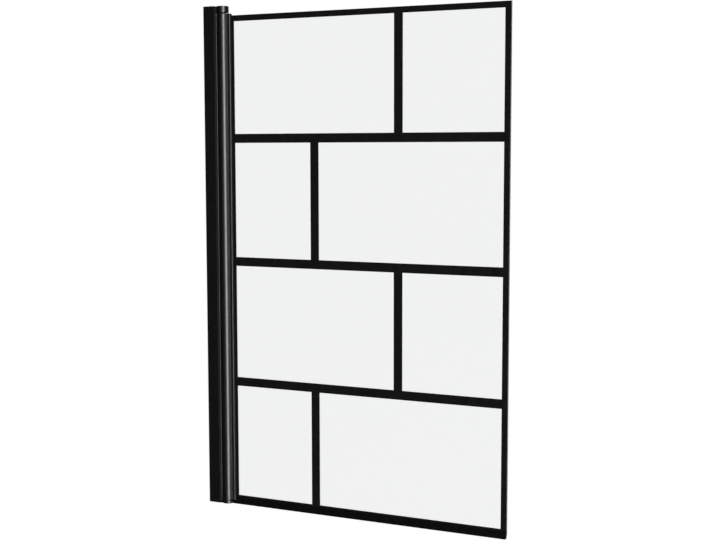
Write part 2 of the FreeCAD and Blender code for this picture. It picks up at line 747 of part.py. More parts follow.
def locking_caps():
    """Snap-on caps over the locking screws."""
    body = new_body("locking_caps")
    section = new_sketch(body, "lock_cap_section", along="lock_inset", across="lock_reach")
    base = f"({LOCK_SEAT} - lock_washer_thick)"
    inner = "(lock_washer_radius + pin_gap)"
    outer = f"({inner} + lock_cap_skin)"
    ceiling = f"({LOCK_SEAT} + lock_head_height + fit_gap)"
    top = f"({ceiling} + lock_cap_bevel)"
    loop(section, [
        ("0", ceiling),
        (inner, ceiling),
        (inner, base),
        (outer, base),
        (outer, ceiling),
        (f"{outer} - lock_cap_bevel", top),
        ("0", top),
    ])
    repeat(turned(section), "Z_Axis", f"{WALL_TOP} - 2 * lock_inset", "lock_count")


def cap_screws(label, seat, direction):
    """Pair of screws that hold a hinge cap in the hinge profile's ports.

    The direction is 1 where the shanks point down and -1 where they point up.
    """
    body = new_body(label)
    section = new_sketch(body, f"{label}_section", "XZ_Plane", along="port_spread", across="port_reach")
    away = "+" if direction > 0 else "-"
    into = "-" if direction > 0 else "+"
    corners = [
        ("0", f"{seat} {into} cap_screw_length"),
        ("cap_screw_shank", f"{seat} {into} cap_screw_length"),
        ("cap_screw_shank", seat),
        ("cap_screw_head_radius", seat),
        ("cap_screw_head_radius", f"{seat} {away} cap_screw_head_height"),
        ("0", f"{seat} {away} cap_screw_head_height"),
    ]
    loop(section, corners if direction > 0 else corners[::-1])
    repeat(turned(section), "Y_Axis", "2 * port_spread", SCREW_PAIR)


def hinge_cap_screws():
    """Screws of the upper and lower hinge caps."""
    cap_screws("top_cap_screws", f"({DRUM_BASE} + cap_screw_web)", 1)
    cap_screws("bottom_cap_screws", "(foot_height - cap_screw_web)", -1)


def build():
    """Build every piece in the order in which the screen goes together."""
    wall_profile()
    wall_end_cap()
    hinge_profile()
    wiper_seal()
    top_hinge_cap()
    bottom_hinge_cap()
    pivot_pins()
    pivot_bushes()
    thrust_washer()
    swing_profile()
    clamp_end_cap()
    glass_panel()
    printed_grid()
    glazing_gaskets()
    glass_packers()
    bottom_seal()
    locking_screws()
    locking_washers()
    locking_caps()
    hinge_cap_screws()
    doc.recompute()


def check():
    """Stop if any object failed or a piece is empty or not valid."""
    for item in doc.Objects:
        if "Invalid" in item.State or "Error" in item.State:
            raise RuntimeError(f"{item.Label} failed: {item.State}")
    for piece in pieces:
        if piece.Shape.isNull() or not piece.Shape.isValid() or not piece.Shape.Solids:
            raise RuntimeError(f"{piece.Label} has no valid solid")


def export():
    """Write each piece to its own file and print its size."""
    os.makedirs("parts", exist_ok=True)
    for piece in pieces:
        piece.Shape.exportStep(f"parts/{piece.Label}.step")
        box = piece.Shape.BoundBox
        low, high = (box.XMin, box.YMin, box.ZMin), (box.XMax, box.YMax, box.ZMax)
        corners = " ".join(f"{a:.2f}..{b:.2f}" for a, b in zip(low, high))
        print(piece.Label, len(piece.Shape.Solids), corners, round(piece.Shape.Volume))


build()
check()
export()
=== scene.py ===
"""Looks of a pivoting bath screen: coated profiles, printed glass, seals, screws and the studio.

Sizes are in millimetres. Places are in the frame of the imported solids: X runs out from the wall
along the glass, -Y faces the viewer and Z is up.
"""

import logging
import math
from dataclasses import dataclass
from enum import Enum
from typing import ClassVar, Sequence

import bmesh
import bpy
from mathutils import Euler, Matrix, Vector

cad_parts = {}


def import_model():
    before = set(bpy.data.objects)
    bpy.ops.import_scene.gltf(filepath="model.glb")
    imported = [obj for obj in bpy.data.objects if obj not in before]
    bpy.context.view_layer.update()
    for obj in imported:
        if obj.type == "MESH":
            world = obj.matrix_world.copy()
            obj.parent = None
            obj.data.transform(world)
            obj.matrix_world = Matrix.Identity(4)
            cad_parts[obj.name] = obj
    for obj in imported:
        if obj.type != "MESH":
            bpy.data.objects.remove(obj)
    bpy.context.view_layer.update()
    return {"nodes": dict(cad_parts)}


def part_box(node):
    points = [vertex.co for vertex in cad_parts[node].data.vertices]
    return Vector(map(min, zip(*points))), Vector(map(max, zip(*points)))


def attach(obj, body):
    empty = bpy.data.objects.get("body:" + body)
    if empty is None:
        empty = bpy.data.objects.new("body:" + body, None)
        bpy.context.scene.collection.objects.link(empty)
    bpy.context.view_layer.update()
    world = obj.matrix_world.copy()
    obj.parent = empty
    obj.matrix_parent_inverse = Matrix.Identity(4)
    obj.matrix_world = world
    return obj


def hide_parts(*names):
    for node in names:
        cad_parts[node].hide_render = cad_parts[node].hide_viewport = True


LOG = logging.getLogger("bath_screen")
MM = 0.001
# Points closer than the first are one, and both ends of a fold lie within the second of its place
WELD = 1e-3
FOLD_REACH = 1e-2
# Turns in degrees: faces count as one below the first, edges are rounded or stay sharp above the others
FLAT_TURN = 0.5
ROUNDED_TURN = 30.0
SHARP_TURN = 32.0
# An edge that runs along an extrusion is longer than this
LONG_EDGE = 100.0
# Parts of a rounding, in a section and along an edge
SECTION_STEPS = 5
EDGE_STEPS = 2
# Most of a noise lies between these
NOISE_LOW = 0.3
NOISE_HIGH = 0.7

Colour = tuple[float, float, float]
Point = tuple[float, float]
Nodes = dict[str, bpy.types.Object]


class Body(Enum):
    """Rigid bodies of the screen."""

    WALL = "wall"
    POST = "post"
    SCREEN = "screen"


class Slot(Enum):
    """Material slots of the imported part."""

    ALUMINIUM = "black_aluminium"
    GLASS = "clear_glass"
    ENAMEL = "black_enamel"
    PLASTIC = "black_plastic"
    RUBBER = "black_rubber"
    VINYL = "black_vinyl"
    NYLON = "white_nylon"
    STEEL = "bright_steel"


class Heading(Enum):
    """The way in which a turned piece's head points."""

    UP = (0, 0, 1)
    DOWN = (0, 0, -1)
    REAR = (0, 1, 0)

    def turn(self) -> Matrix:
        """Give the rotation from an upright piece to this heading."""
        return Vector((0, 0, 1)).rotation_difference(Vector(self.value)).to_matrix().to_4x4()


class Graph:
    """Short calls that build a node tree."""

    def __init__(self, tree: bpy.types.NodeTree) -> None:
        """Start from an empty tree.

        Args:
            tree: The tree of a material or a world.
        """
        tree.nodes.clear()
        self.tree = tree

    def node(self, kind: str, inputs: dict | None = None, **settings: object) -> bpy.types.Node:
        """Add a node.

        Args:
            kind: Blender's name of the node's type.
            inputs: Values or output sockets for inputs, by their name or index.
            **settings: Properties of the node.

        Returns:
            The new node.
        """
        node = self.tree.nodes.new(kind)
        for name, value in settings.items():
            setattr(node, name, value)
        for name, value in (inputs or {}).items():
            if isinstance(value, bpy.types.NodeSocket):
                self.tree.links.new(value, node.inputs[name])
            else:
                node.inputs[name].default_value = value
        return node

    def math(self, operation: str, first: object, second: object) -> bpy.types.NodeSocket:
        """Combine two numbers.

        Args:
            operation: Blender's name of the operation.
            first: A number or an output socket.
            second: A number or an output socket.

        Returns:
            The socket with the result.
        """
        return self.node("ShaderNodeMath", {0: first, 1: second}, operation=operation).outputs[0]

    def grain(
        self, size: float, stretch: Sequence[float] = (1, 1, 1), detail: float = 2.0,
    ) -> bpy.types.NodeSocket:
        """Spread noise over a piece.

        Args:
            size: Size of a grain in millimetres.
            stretch: How often a grain repeats along X, Y and Z.
            detail: Octaves of finer noise.

        Returns:
            The noise's socket, from 0 to 1.
        """
        coordinates = self.node("ShaderNodeTexCoord").outputs["Object"]
        scale = tuple(part / (size * MM) for part in stretch)
        mapped = self.node("ShaderNodeMapping", {"Vector": coordinates, "Scale": scale})
        inputs = {"Vector": mapped.outputs[0], "Scale": 1.0, "Detail": detail}
        return self.node("ShaderNodeTexNoise", inputs).outputs[0]

    def spread(self, noise: bpy.types.NodeSocket, low: float, high: float) -> bpy.types.NodeSocket:
        """Map the middle of a noise to a range.

        Args:
            noise: The noise's socket.
            low: Result where the noise is weak.
            high: Result where it is strong.

        Returns:
            The mapped socket.
        """
        inputs = {"Value": noise, "From Min": NOISE_LOW, "From Max": NOISE_HIGH}
        inputs |= {"To Min": low, "To Max": high}
        return self.node("ShaderNodeMapRange", inputs).outputs[0]

    def tone(self, noise: bpy.types.NodeSocket, dark: Colour, light: Colour) -> bpy.types.NodeSocket:
        """Vary a colour with a noise.

        Args:
            noise: The noise's socket.
            dark: Colour where the noise is weak.
            light: Colour where it is strong.

        Returns:
            The colour's socket.
        """
        return self.blend(self.spread(noise, 0.0, 1.0), dark, light)

    def blend(self, share: bpy.types.NodeSocket, first: Colour, second: Colour) -> bpy.types.NodeSocket:
        """Blend two colours.

        Args:
            share: Socket with the second colour's share.
            first: Colour where the share is 0.
            second: Colour where it is 1.

        Returns:
            The colour's socket.
        """
        inputs = {0: share, 6: (*first, 1.0), 7: (*second, 1.0)}
        return self.node("ShaderNodeMix", inputs, data_type="RGBA").outputs[2]

    def relief(self, height: bpy.types.NodeSocket, depth: float) -> bpy.types.NodeSocket:
        """Turn a noise into a relief of the surface.

        Args:
            height: The noise's socket.
            depth: Depth of the relief in millimetres.

        Returns:
            The normal's socket.
        """
        return self.node("ShaderNodeBump", {"Height": height, "Distance": depth * MM}).outputs[0]


@dataclass(frozen=True)
class Finish:
    """A surface finish, made once as a material."""

    name: str
    slot: Slot

    def material(self) -> bpy.types.Material:
        """Give the finish's material, and make it if it is new."""
        made = bpy.data.materials.get(self.name)
        if made is None:
            made = bpy.data.materials.new(self.name)
            made.use_nodes = True
            graph = Graph(made.node_tree)
            shader = graph.node("ShaderNodeBsdfPrincipled")
            output = graph.node("ShaderNodeOutputMaterial", {"Surface": shader.outputs[0]})
            self.mix(graph, shader, output)
        return made

    def mix(self, graph: Graph, shader: bpy.types.Node, output: bpy.types.Node) -> None:
        """Set the shader up.

        Args:
            graph: The material's tree.
            shader: Its main shader.
            output: Its output node.
        """
        raise NotImplementedError

    @staticmethod
    def feed(graph: Graph, shader: bpy.types.Node, **values: object) -> None:
        """Set or link the shader's inputs.

        Args:
            graph: The material's tree.
            shader: Its main shader.
            **values: A value or an output socket for each input, with _ for a space.
        """
        for name, value in values.items():
            socket = shader.inputs[name.replace("_", " ")]
            if isinstance(value, bpy.types.NodeSocket):
                graph.tree.links.new(value, socket)
            else:
                socket.default_value = value


@dataclass(frozen=True)
class PowderCoat(Finish):
    """Satin black coat on aluminium, with orange peel and faint cloudiness."""

    dark: Colour = (0.0018, 0.0018, 0.002)
    light: Colour = (0.0026, 0.0026, 0.0028)
    smooth: float = 0.37
    rough: float = 0.42
    gloss: float = 1.0
    peel: float = 1.3
    peel_depth: float = 0.006
    sheen: float = 10.4
    cloud: float = 45.0

    def mix(self, graph: Graph, shader: bpy.types.Node, output: bpy.types.Node) -> None:
        """Cloud the colour and the gloss, and raise the orange peel."""
        self.feed(
            graph, shader,
            Base_Color=graph.tone(graph.grain(self.cloud), self.dark, self.light),
            Roughness=graph.spread(graph.grain(self.sheen), self.smooth, self.rough),
            Specular_IOR_Level=self.gloss,
            Normal=graph.relief(graph.grain(self.peel), self.peel_depth),
        )


@dataclass(frozen=True)
class ToughenedGlass(Finish):
    """Clear float glass with a faint green body and ground edges."""

    body_tint: Colour = (0.336, 0.446, 0.386)
    body_density: float = 25.0
    face_tint: Colour = (1.0, 1.0, 1.0)
    edge_tint: Colour = (0.06, 0.09, 0.075)
    refraction: float = 1.52
    ground: float = 0.22
    ground_spread: float = 0.2
    scratch: float = 0.6
    face_cosine: float = 0.98

    def mix(self, graph: Graph, shader: bpy.types.Node, output: bpy.types.Node) -> None:
        """Let light through, roughen the ground edges and tint the body."""
        normal = graph.node("ShaderNodeTexCoord").outputs["Normal"]
        across = graph.node("ShaderNodeSeparateXYZ", {0: normal}).outputs["Y"]
        facing = graph.math("ABSOLUTE", across, 0.0)
        edge = graph.math("LESS_THAN", facing, self.face_cosine)
        low, high = ((1 + sign * self.ground_spread) * self.ground for sign in (-1, 1))
        scratches = graph.spread(graph.grain(self.scratch), low, high)
        self.feed(
            graph, shader,
            Base_Color=graph.blend(edge, self.face_tint, self.edge_tint),
            Roughness=graph.math("MULTIPLY", edge, scratches),
            IOR=self.refraction,
            Transmission_Weight=1.0,
        )
        body = {"Color": (*self.body_tint, 1.0), "Density": self.body_density}
        absorption = graph.node("ShaderNodeVolumeAbsorption", body)
        graph.tree.links.new(absorption.outputs[0], output.inputs["Volume"])


@dataclass(frozen=True)
class ScreenPrint(Finish):
    """Fired black enamel, with the fine weave of the printing screen."""

    dark: Colour = (0.0058, 0.0058, 0.006)
    light: Colour = (0.0082, 0.0082, 0.0085)
    smooth: float = 0.1
    rough: float = 0.16
    blotch: float = 20.0
    haze: float = 6.0
    mesh: float = 0.35
    mesh_depth: float = 0.0006

    def mix(self, graph: Graph, shader: bpy.types.Node, output: bpy.types.Node) -> None:
        """Vary the ink's density and raise the weave."""
        self.feed(
            graph, shader,
            Base_Color=graph.tone(graph.grain(self.blotch), self.dark, self.light),
            Roughness=graph.spread(graph.grain(self.haze), self.smooth, self.rough),
            Normal=graph.relief(graph.grain(self.mesh, detail=0.0), self.mesh_depth),
        )


@dataclass(frozen=True)
class MouldedPlastic(Finish):
    """Moulded plastic with a spark-eroded texture."""

    dark: Colour = (0.0085, 0.0085, 0.0088)
    light: Colour = (0.0125, 0.0125, 0.0128)
    smooth: float = 0.38
    rough: float = 0.5
    blotch: float = 7.0
    texture: float = 0.3
    texture_detail: float = 3.0
    texture_depth: float = 0.012

    def mix(self, graph: Graph, shader: bpy.types.Node, output: bpy.types.Node) -> None:
        """Vary the tone and raise the moulding texture."""
        texture = graph.grain(self.texture, detail=self.texture_detail)
        self.feed(
            graph, shader,
            Base_Color=graph.tone(graph.grain(self.blotch), self.dark, self.light),
            Roughness=graph.spread(texture, self.smooth, self.rough),
            Normal=graph.relief(texture, self.texture_depth),
        )


@dataclass(frozen=True)
class ExtrudedRubber(Finish):
    """Matt extruded strip with faint lines along its length."""

    lines: tuple[float, float, float] = (1.0, 1.0, 0.01)
    dark: Colour = (0.006, 0.006, 0.0062)
    light: Colour = (0.009, 0.009, 0.0092)
    smooth: float = 0.5
    rough: float = 0.66
    gloss: float = 0.3
    blotch: float = 14.0
    bloom: float = 2.0
    line_size: float = 0.45
    line_depth: float = 0.01

    def mix(self, graph: Graph, shader: bpy.types.Node, output: bpy.types.Node) -> None:
        """Vary the tone and draw the lines of the die."""
        lines = graph.grain(self.line_size, self.lines)
        self.feed(
            graph, shader,
            Base_Color=graph.tone(graph.grain(self.blotch), self.dark, self.light),
            Roughness=graph.spread(graph.grain(self.bloom), self.smooth, self.rough),
            Specular_IOR_Level=self.gloss,
            Normal=graph.relief(lines, self.line_depth),
        )


@dataclass(frozen=True)
class TurnedSteel(Finish):
    """Bright steel with fine turning marks."""

    dark: Colour = (0.5, 0.49, 0.47)
    light: Colour = (0.62, 0.61, 0.59)
    smooth: float = 0.2
    rough: float = 0.32
    blotch: float = 3.0
    mark: float = 0.12
    mark_stretch: tuple[float, float, float] = (0.2, 0.2, 1.0)
    mark_depth: float = 0.003

    def mix(self, graph: Graph, shader: bpy.types.Node, output: bpy.types.Node) -> None:
        """Make the metal and its turning marks."""
        marks = graph.grain(self.mark, self.mark_stretch)
        self.feed(
            graph, shader,
            Base_Color=graph.tone(graph.grain(self.blotch), self.dark, self.light),
            Metallic=1.0,
            Roughness=graph.spread(marks, self.smooth, self.rough),
            Normal=graph.relief(marks, self.mark_depth),
        )


FINISHES: dict[Slot, Finish] = {
    finish.slot: finish
    for finish in (
        PowderCoat("satin_black_coat", Slot.ALUMINIUM),
        ToughenedGlass("toughened_glass", Slot.GLASS),
        ScreenPrint("fired_black_print", Slot.ENAMEL),
        MouldedPlastic("moulded_black_plastic", Slot.PLASTIC),
        ExtrudedRubber("gasket_rubber", Slot.RUBBER),
        ExtrudedRubber("seal_vinyl", Slot.VINYL, lines=(0.01, 1.0, 1.0), smooth=0.2, rough=0.27, gloss=0.2,
                       dark=(0.0032, 0.0032, 0.0033), light=(0.0048, 0.0048, 0.0049)),
        MouldedPlastic("washer_nylon", Slot.NYLON, dark=(0.7, 0.69, 0.65), light=(0.76, 0.75, 0.71)),
        TurnedSteel("turned_steel", Slot.STEEL),
    )
}


@dataclass(frozen=True)
class Corner:
    """A corner of a section, rounded off where it has a radius."""

    x: float
    y: float
    radius: float = 0.0


def rounded(corners: Sequence[Corner]) -> list[Point]:
    """Draw a closed section with rounded corners.

    Args:
        corners: The section's corners in order.

    Returns:
        The section's points in order.
    """
    points: list[Point] = []
    for index, corner in enumerate(corners):
        at = Vector((corner.x, corner.y))
        before, after = corners[index - 1], corners[(index + 1) % len(corners)]
        if corner.radius == 0:
            points.append((at.x, at.y))
            continue
        back = (Vector((before.x, before.y)) - at).normalized()
        ahead = (Vector((after.x, after.y)) - at).normalized()
        half = back.angle(ahead) / 2
        centre = at + (back + ahead).normalized() * corner.radius / math.sin(half)
        start = at + back * corner.radius / math.tan(half) - centre
        sweep = (math.pi - 2 * half) * (1 if back.cross(ahead) < 0 else -1)
        for step in range(SECTION_STEPS + 1):
            spoke = Matrix.Rotation(sweep * step / SECTION_STEPS, 2) @ start
            points.append(tuple(centre + spoke))
    return points


def even_spokes(sides: int) -> list[float]:
    """Give the angles in radians of spokes that divide a turn evenly."""
    return [2 * math.pi * side / sides for side in range(sides)]


def on_spoke(radius: float, spoke: float, height: float) -> Vector:
    """Give the point at a radius, an angle in radians and a height."""
    return Vector((radius * math.cos(spoke), radius * math.sin(spoke), height))


class Form:
    """A mesh that is drawn in millimetres."""

    def __init__(self) -> None:
        """Start empty."""
        self.mesh = bmesh.new()
        self.folds: list[float] = []

    @classmethod
    def of_node(cls, node: bpy.types.Object) -> "Form":
        """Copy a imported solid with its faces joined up.

        Args:
            node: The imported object.

        Returns:
            The copy.
        """
        form = cls()
        corners = [form.mesh.verts.new(vertex.co / MM) for vertex in node.data.vertices]
        for polygon in node.data.polygons:
            form.mesh.faces.new([corners[index] for index in polygon.vertices])
        bmesh.ops.remove_doubles(form.mesh, verts=form.mesh.verts, dist=WELD)
        flat = math.radians(FLAT_TURN)
        bmesh.ops.dissolve_limit(form.mesh, angle_limit=flat, verts=form.mesh.verts, edges=form.mesh.edges)
        return form

    def loft(self, rings: Sequence[Sequence[Vector]]) -> "Form":
        """Skin equal rings in order and close both ends.

        Args:
            rings: The points of each ring.

        Returns:
            This form.
        """
        rows = [[self.mesh.verts.new(point) for point in ring] for ring in rings]
        count = len(rows[0])
        for near, far in zip(rows, rows[1:]):
            for index in range(count):
                following = (index + 1) % count
                self.mesh.faces.new((near[index], near[following], far[following], far[index]))
        self.mesh.faces.new(rows[0][::-1])
        self.mesh.faces.new(rows[-1])
        return self

    def lathe(self, outline: Sequence[Point], sides: int) -> "Form":
        """Turn an outline about the upright axis.

        Args:
            outline: Radius and height of each point, from one end to the other.
            sides: Facets round the axis.

        Returns:
            This form.
        """
        spokes = even_spokes(sides)
        rings = [[on_spoke(radius, spoke, height) for spoke in spokes] for radius, height in outline]
        return self.loft(rings)

    def soften(self, width: float, least: float = 0.0) -> "Form":
        """Round the sharp edges off.

        Args:
            width: Width of the rounding in millimetres.
            least: Edges have to be longer than this to be rounded.

        Returns:
            This form.
        """
        limit = math.radians(ROUNDED_TURN)
        sharp = [
            edge for edge in self.mesh.edges
            if edge.is_manifold and edge.calc_face_angle() > limit and edge.calc_length() > least
        ]
        bmesh.ops.bevel(
            self.mesh, geom=sharp, offset=width, offset_type="OFFSET", segments=EDGE_STEPS,
            profile=0.5, affect="EDGES", clamp_overlap=True, loop_slide=True, material=-1,
        )
        return self

    def square(self, reach: float, half: float, within: float) -> "Form":
        """Draw the rounded tips of a channel's flanges out to sharp corners.

        Args:
            reach: Place of the tips along X.
            half: Half of the channel's depth along Y.
            within: How far from a corner its rounding starts.

        Returns:
            This form.
        """
        for vertex in self.mesh.verts:
            side = math.copysign(half, vertex.co.y)
            if reach - vertex.co.x < within and abs(vertex.co.y - side) < within:
                vertex.co.x, vertex.co.y = reach, side
        bmesh.ops.remove_doubles(self.mesh, verts=self.mesh.verts, dist=WELD)
        bmesh.ops.dissolve_degenerate(self.mesh, edges=self.mesh.edges, dist=WELD)
        return self

    def shave(self, normal: Vector, depth: float) -> "Form":
        """Shave a flat off the edge that reaches furthest in a direction.

        Args:
            normal: The way in which the flat faces.
            depth: How deep the flat is cut in millimetres.

        Returns:
            This form.
        """
        furthest = max(normal.dot(vertex.co) for vertex in self.mesh.verts)
        cut = bmesh.ops.bisect_plane(
            self.mesh, geom=[*self.mesh.verts, *self.mesh.edges, *self.mesh.faces], dist=WELD,
            plane_co=normal * (furthest - depth), plane_no=normal, clear_outer=True,
        )
        rim = [item for item in cut["geom_cut"] if isinstance(item, bmesh.types.BMEdge)]
        bmesh.ops.edgeloop_fill(self.mesh, edges=rim)
        self.folds += [vertex.co.x for edge in rim for vertex in edge.verts]
        return self

    def move(self, heading: Heading, place: Sequence[float]) -> "Form":
        """Turn the form to a heading and shift it to its place, and give it back."""
        bmesh.ops.transform(self.mesh, matrix=heading.turn(), verts=self.mesh.verts)
        bmesh.ops.translate(self.mesh, vec=Vector(place), verts=self.mesh.verts)
        return self

    def copies(self, heading: Heading, places: Sequence[Sequence[float]]) -> "Form":
        """Set copies of the form at places.

        Args:
            heading: The heading of every copy.
            places: Where the copies go.

        Returns:
            A new form that holds the copies.
        """
        whole = Form()
        for place in places:
            copied = Form()
            copied.mesh = self.mesh.copy()
            copied.move(heading, place)
            corners = {vertex: whole.mesh.verts.new(vertex.co) for vertex in copied.mesh.verts}
            for face in copied.mesh.faces:
                whole.mesh.faces.new([corners[vertex] for vertex in face.verts])
            copied.mesh.free()
        return whole

    def close(self, name: str) -> bpy.types.Mesh:
        """Clean the mesh up, mark its sharp edges and its folds and hand it over in metres.

        Args:
            name: Name of the mesh.

        Returns:
            The finished mesh.
        """
        bmesh.ops.remove_doubles(self.mesh, verts=self.mesh.verts, dist=WELD)
        bmesh.ops.dissolve_degenerate(self.mesh, edges=self.mesh.edges, dist=WELD)
        bmesh.ops.recalc_face_normals(self.mesh, faces=self.mesh.faces)
        for face in self.mesh.faces:
            face.smooth = True
        for edge in self.mesh.edges:
            start, end = (vertex.co.x for vertex in edge.verts)
            folded = any(max(abs(start - fold), abs(end - fold)) < FOLD_REACH for fold in self.folds)
            edge.smooth = not folded and edge.calc_face_angle(math.pi) < math.radians(SHARP_TURN)
        bmesh.ops.scale(self.mesh, vec=Vector((MM, MM, MM)), verts=self.mesh.verts)
        mesh = bpy.data.meshes.new(name)
        self.mesh.to_mesh(mesh)
        self.mesh.free()
        return mesh

    def cut_by(self, cutter: "Form") -> "Form":
        """Cut another form out of this one.

        Args:
            cutter: The form that is cut out.

        Returns:
            A new form of what is left.
        """
        blank = show("cut_blank", self.close("cut_blank"))
        tool = show("cut_tool", cutter.close("cut_tool"))
        carve = blank.modifiers.new("carve", "BOOLEAN")
        carve.object = tool
        carve.solver = "EXACT"
        depsgraph = bpy.context.evaluated_depsgraph_get()
        left = bpy.data.meshes.new_from_object(blank.evaluated_get(depsgraph))
        form = Form()
        form.mesh.from_mesh(left)
        bmesh.ops.scale(form.mesh, vec=Vector((1 / MM, 1 / MM, 1 / MM)), verts=form.mesh.verts)
        for spent in (blank, tool):
            bpy.data.objects.remove(spent, do_unlink=True)
        return form


def show(name: str, mesh: bpy.types.Mesh) -> bpy.types.Object:
    """Hang a mesh in the scene.

    Args:
        name: Name of the object.
        mesh: Its mesh.

    Returns:
        The object.
    """
    made = bpy.data.objects.new(name, mesh)
    bpy.context.scene.collection.objects.link(made)
    return made


def strip(section: Sequence[Point], low: float, high: float) -> Form:
    """Draw a straight strip that stands upright.

    Args:
        section: X and Y of the points of its section.
        low: Height of its lower end.
        high: Height of its upper end.

    Returns:
        The strip.
    """
    rings = [[Vector((reach, wide, height)) for reach, wide in section] for height in (low, high)]
    return Form().loft(rings)


@dataclass(frozen=True)
class PanScrew:
    """Pan-head screw with a rolled thread and a cross recess, head up, with its seat at zero.

    The root and the point are shares of the shank's radius, and the dome and the recess of the head's
    radius and height.
    """

    shank: float
    length: float
    head: float
    head_height: float
    pitch: float = 1.4
    root: float = 0.76
    ridge_slope: float = 2.4
    point: float = 0.4
    point_length: float = 2.2
    sides: int = 28
    rings_per_turn: int = 6
    dome: tuple[Point, ...] = (
        (0.97, 0.0), (1.0, 0.08), (1.0, 0.42), (0.95, 0.66), (0.82, 0.84), (0.6, 0.95), (0.3, 1.0),
    )
    recess_reach: float = 0.56
    recess_depth: float = 0.72
    recess_width: float = 0.24
    recess_top: float = 1.3
    recess_narrow: float = 0.55
    recess_wide: float = 1.25

    def thread(self, spoke: float, height: float) -> float:
        """Give the thread's radius.

        Args:
            spoke: Angle round the axis in radians.
            height: Height below the seat, which is negative.

        Returns:
            The radius there.
        """
        phase = (spoke / (2 * math.pi) + height / self.pitch) % 1.0
        ridge = max(0.0, 1.0 - self.ridge_slope * abs(phase - 0.5))
        taper = min(1.0, self.point + (height + self.length) / (self.point_length * self.shank))
        neck = min(1.0, -height / self.pitch)
        return self.shank * taper * (self.root + (1 - self.root) * ridge * neck)

    def form(self) -> Form:
        """Draw the screw."""
        spokes = even_spokes(self.sides)
        count = math.ceil(self.length / self.pitch * self.rings_per_turn)
        rings = []
        for step in range(count + 1):
            height = -self.length + self.length * step / count
            rings.append([on_spoke(self.thread(spoke, height), spoke, height) for spoke in spokes])
        for reach, rise in self.dome:
            radius, height = reach * self.head, rise * self.head_height
            rings.append([on_spoke(radius, spoke, height) for spoke in spokes])
        screw = Form().loft(rings)
        for turn in (0.0, math.pi / 2):
            screw = screw.cut_by(self.wing(turn))
        return screw

    def wing(self, turn: float) -> Form:
        """Draw one tapered wing of the cross recess.

        Args:
            turn: Angle about the axis in radians.

        Returns:
            The wing to be cut out.
        """
        spin = Matrix.Rotation(turn, 3, "Z")
        floor = (1 - self.recess_depth) * self.head_height
        top = self.recess_top * self.head_height
        rings = []
        for height, share in ((floor, self.recess_narrow), (top, self.recess_wide)):
            reach = share * self.recess_reach * self.head
            half = share * self.recess_width * self.head / 2
            corners = ((-reach, -half), (reach, -half), (reach, half), (-reach, half))
            rings.append([spin @ Vector((x, y, height)) for x, y in corners])
        return Form().loft(rings)


@dataclass(frozen=True)
class SnapCap:
    """Snap-on cap with a rounded crown and a lifting notch, crown up, with the screw's seat at zero."""

    base: float = -1.0
    ceiling: float = 2.15
    top: float = 3.55
    inner: float = 5.05
    outer: float = 5.75
    crown: float = 1.3
    crown_steps: int = 6
    middle: float = 0.5
    chamfer: float = 0.3
    rim: float = 0.1
    sides: int = 48
    notch_half: float = 1.2
    notch_half_above: float = 0.8
    notch_height: float = 0.55
    notch_spare: float = 0.4

    def form(self) -> Form:
        """Draw the cap."""
        outline = [
            (self.middle, self.ceiling),
            (self.inner - self.chamfer, self.ceiling),
            (self.inner, self.ceiling - self.chamfer),
            (self.inner, self.base),
            (self.outer - self.rim, self.base),
            (self.outer, self.base + self.rim),
        ]
        for step in range(self.crown_steps + 1):
            angle = math.pi / 2 * step / self.crown_steps
            reach, rise = self.crown * math.cos(angle), self.crown * math.sin(angle)
            outline.append((self.outer - self.crown + reach, self.top - self.crown + rise))
        outline.append((self.middle, self.top))
        return Form().lathe(outline, self.sides).cut_by(self.notch())

    def notch(self) -> Form:
        """Draw the notch to be cut out, which runs past the wall and the rim by its spare."""
        below, above = self.notch_half, self.notch_half_above
        low, high = self.base - self.notch_spare, self.base + self.notch_height
        section = ((-below, low), (below, low), (above, high), (-above, high))
        rings = [
            [Vector((wide, -reach, height)) for wide, height in section]
            for reach in (self.inner - self.notch_spare, self.outer + self.notch_spare)
        ]
        return Form().loft(rings)


@dataclass
class SubAssembly:
    """Pieces that ride on one body."""

    nodes: Nodes
    body: ClassVar[Body]

    def finish_of(self, node: str) -> Finish:
        """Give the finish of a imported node, by its material slot."""
        return FINISHES[Slot(self.nodes[node].data.materials[0].name)]

    def keep(self, *names: str) -> None:
        """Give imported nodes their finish, with their shape as it is.

        Args:
            *names: The nodes.
        """
        for name in names:
            holder = self.nodes[name].material_slots[0]
            finish = self.finish_of(name)
            holder.link = "OBJECT"
            holder.material = finish.material()
            LOG.info("%s: packed shape, %s", name, finish.name)

    def add(self, name: str, form: Form, node: str) -> None:
        """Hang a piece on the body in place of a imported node.

        Args:
            name: Name of the piece.
            form: Its shape.
            node: The node that it stands for.
        """
        finish = self.finish_of(node)
        mesh = form.close(name)
        mesh.materials.append(finish.material())
        piece = show(name, mesh)
        even = piece.modifiers.new("even_shading", "WEIGHTED_NORMAL")
        even.keep_sharp = True
        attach(piece, self.body.value)
        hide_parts(node)
        LOG.info("%s: %d faces for %s, %s", name, len(mesh.polygons), node, finish.name)

    def soften(self, name: str, node: str, width: float) -> None:
        """Hang a copy of a node with rounded edges in its place.

        Args:
            name: Name of the piece.
            node: The node that it copies.
            width: Width of the rounding.
        """
        self.add(name, Form.of_node(self.nodes[node]).soften(width), node)


